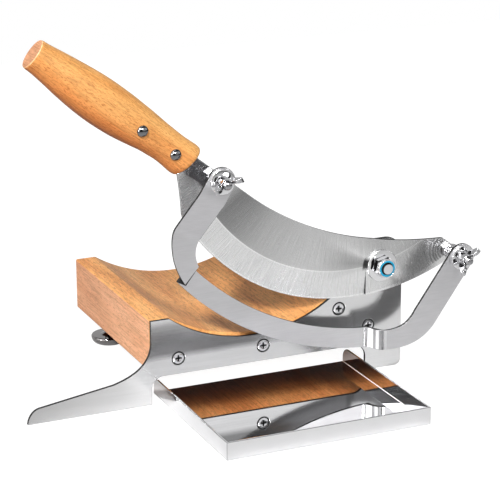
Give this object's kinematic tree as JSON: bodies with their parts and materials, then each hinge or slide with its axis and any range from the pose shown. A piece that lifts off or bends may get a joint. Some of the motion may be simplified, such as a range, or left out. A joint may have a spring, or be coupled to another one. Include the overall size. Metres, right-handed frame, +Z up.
{
  "type": "manual deli slicer",
  "caption": "Manual slicer with a scooped wooden block, a hinged curved blade, an adjustable thickness gauge and a loose catch tray.",
  "frame": {"origin": "Middle of the bottom of the whole part's box, on the surface that it stands on.", "axes": "+X runs along the front plate towards the blade's pivot, +Y runs back along the wooden block, away from the tray, +Z is up."},
  "size_m": [0.2912, 0.237, 0.2324],
  "materials": {
    "wood": "oiled beech, fine straight grain with short dark flecks",
    "plate": "polished stainless sheet",
    "blade": "satin ground stainless with a brighter ground bevel",
    "satin": "satin stainless sheet",
    "mirror": "mirror polished stainless",
    "fastener": "bright plated steel",
    "dark": "polished forged steel",
    "brass": "plain brass",
    "nylon": "blue nylon"
  },
  "bodies": {
    "base": {"base_block": "wood", "front_plate": "plate", "plate_screw_1": "fastener", "plate_screw_2": "fastener", "plate_screw_3": "fastener", "plate_screw_4": "fastener", "rear_foot_left": "mirror", "foot_insert_left": "brass", "rear_foot_right": "mirror", "foot_insert_right": "brass", "pivot_bolt": "fastener", "pivot_washer_rear": "fastener", "pivot_washer_front": "fastener", "pivot_nut": "fastener", "nylon_ring": "nylon"},
    "blade": {"blade": "blade", "pivot_bush": "brass", "blade_tang": "dark", "handle": "wood", "handle_rivet_1": "fastener", "handle_rivet_2": "fastener", "gauge_stud_left": "fastener", "stud_nut_left": "fastener", "gauge_spring_left": "fastener", "gauge_stud_right": "fastener", "stud_nut_right": "fastener", "gauge_spring_right": "fastener"},
    "gauge": {"gauge_strip": "satin", "gauge_left_arm": "satin", "spring_washer_left": "fastener", "wing_washer_left": "mirror", "spring_washer_right": "fastener", "wing_washer_right": "mirror"},
    "wing_left": {"wing_nut_left": "fastener"},
    "wing_right": {"wing_nut_right": "fastener"},
    "tray": {"catch_tray": "mirror"}
  },
  "joints": [
    {"name": "blade_hinge", "type": "hinge", "parent": "base", "child": "blade", "pos_m": [0.0894, -0.0225, 0.0702], "axis": [0, -1, 0], "range_deg": [-45, 25]},
    {"name": "gauge_slide", "type": "slide", "parent": "blade", "child": "gauge", "axis": [0, 1, 0], "range_m": [-0.003, 0.005], "deforming": ["gauge_spring_left", "gauge_spring_right"]},
    {"name": "wing_nut_left_turn", "type": "hinge", "parent": "gauge", "child": "wing_left", "pos_m": [-0.0278, -0.0475, 0.1428], "axis": [0, 1, 0], "range_deg": [-1352, 2252]},
    {"name": "wing_nut_right_turn", "type": "hinge", "parent": "gauge", "child": "wing_right", "pos_m": [0.1368, -0.0475, 0.0748], "axis": [0, 1, 0], "range_deg": [-1352, 2252]},
    {"name": "tray_slide", "type": "slide", "parent": "base", "child": "tray", "axis": [0, -1, 0], "range_m": [-0.08, 0.06]}
  ],
  "couplings": [
    {"joint": "wing_nut_left_turn", "follows": "gauge_slide", "rad_per_m": 7854},
    {"joint": "wing_nut_right_turn", "follows": "gauge_slide", "rad_per_m": 7854}
  ]
}
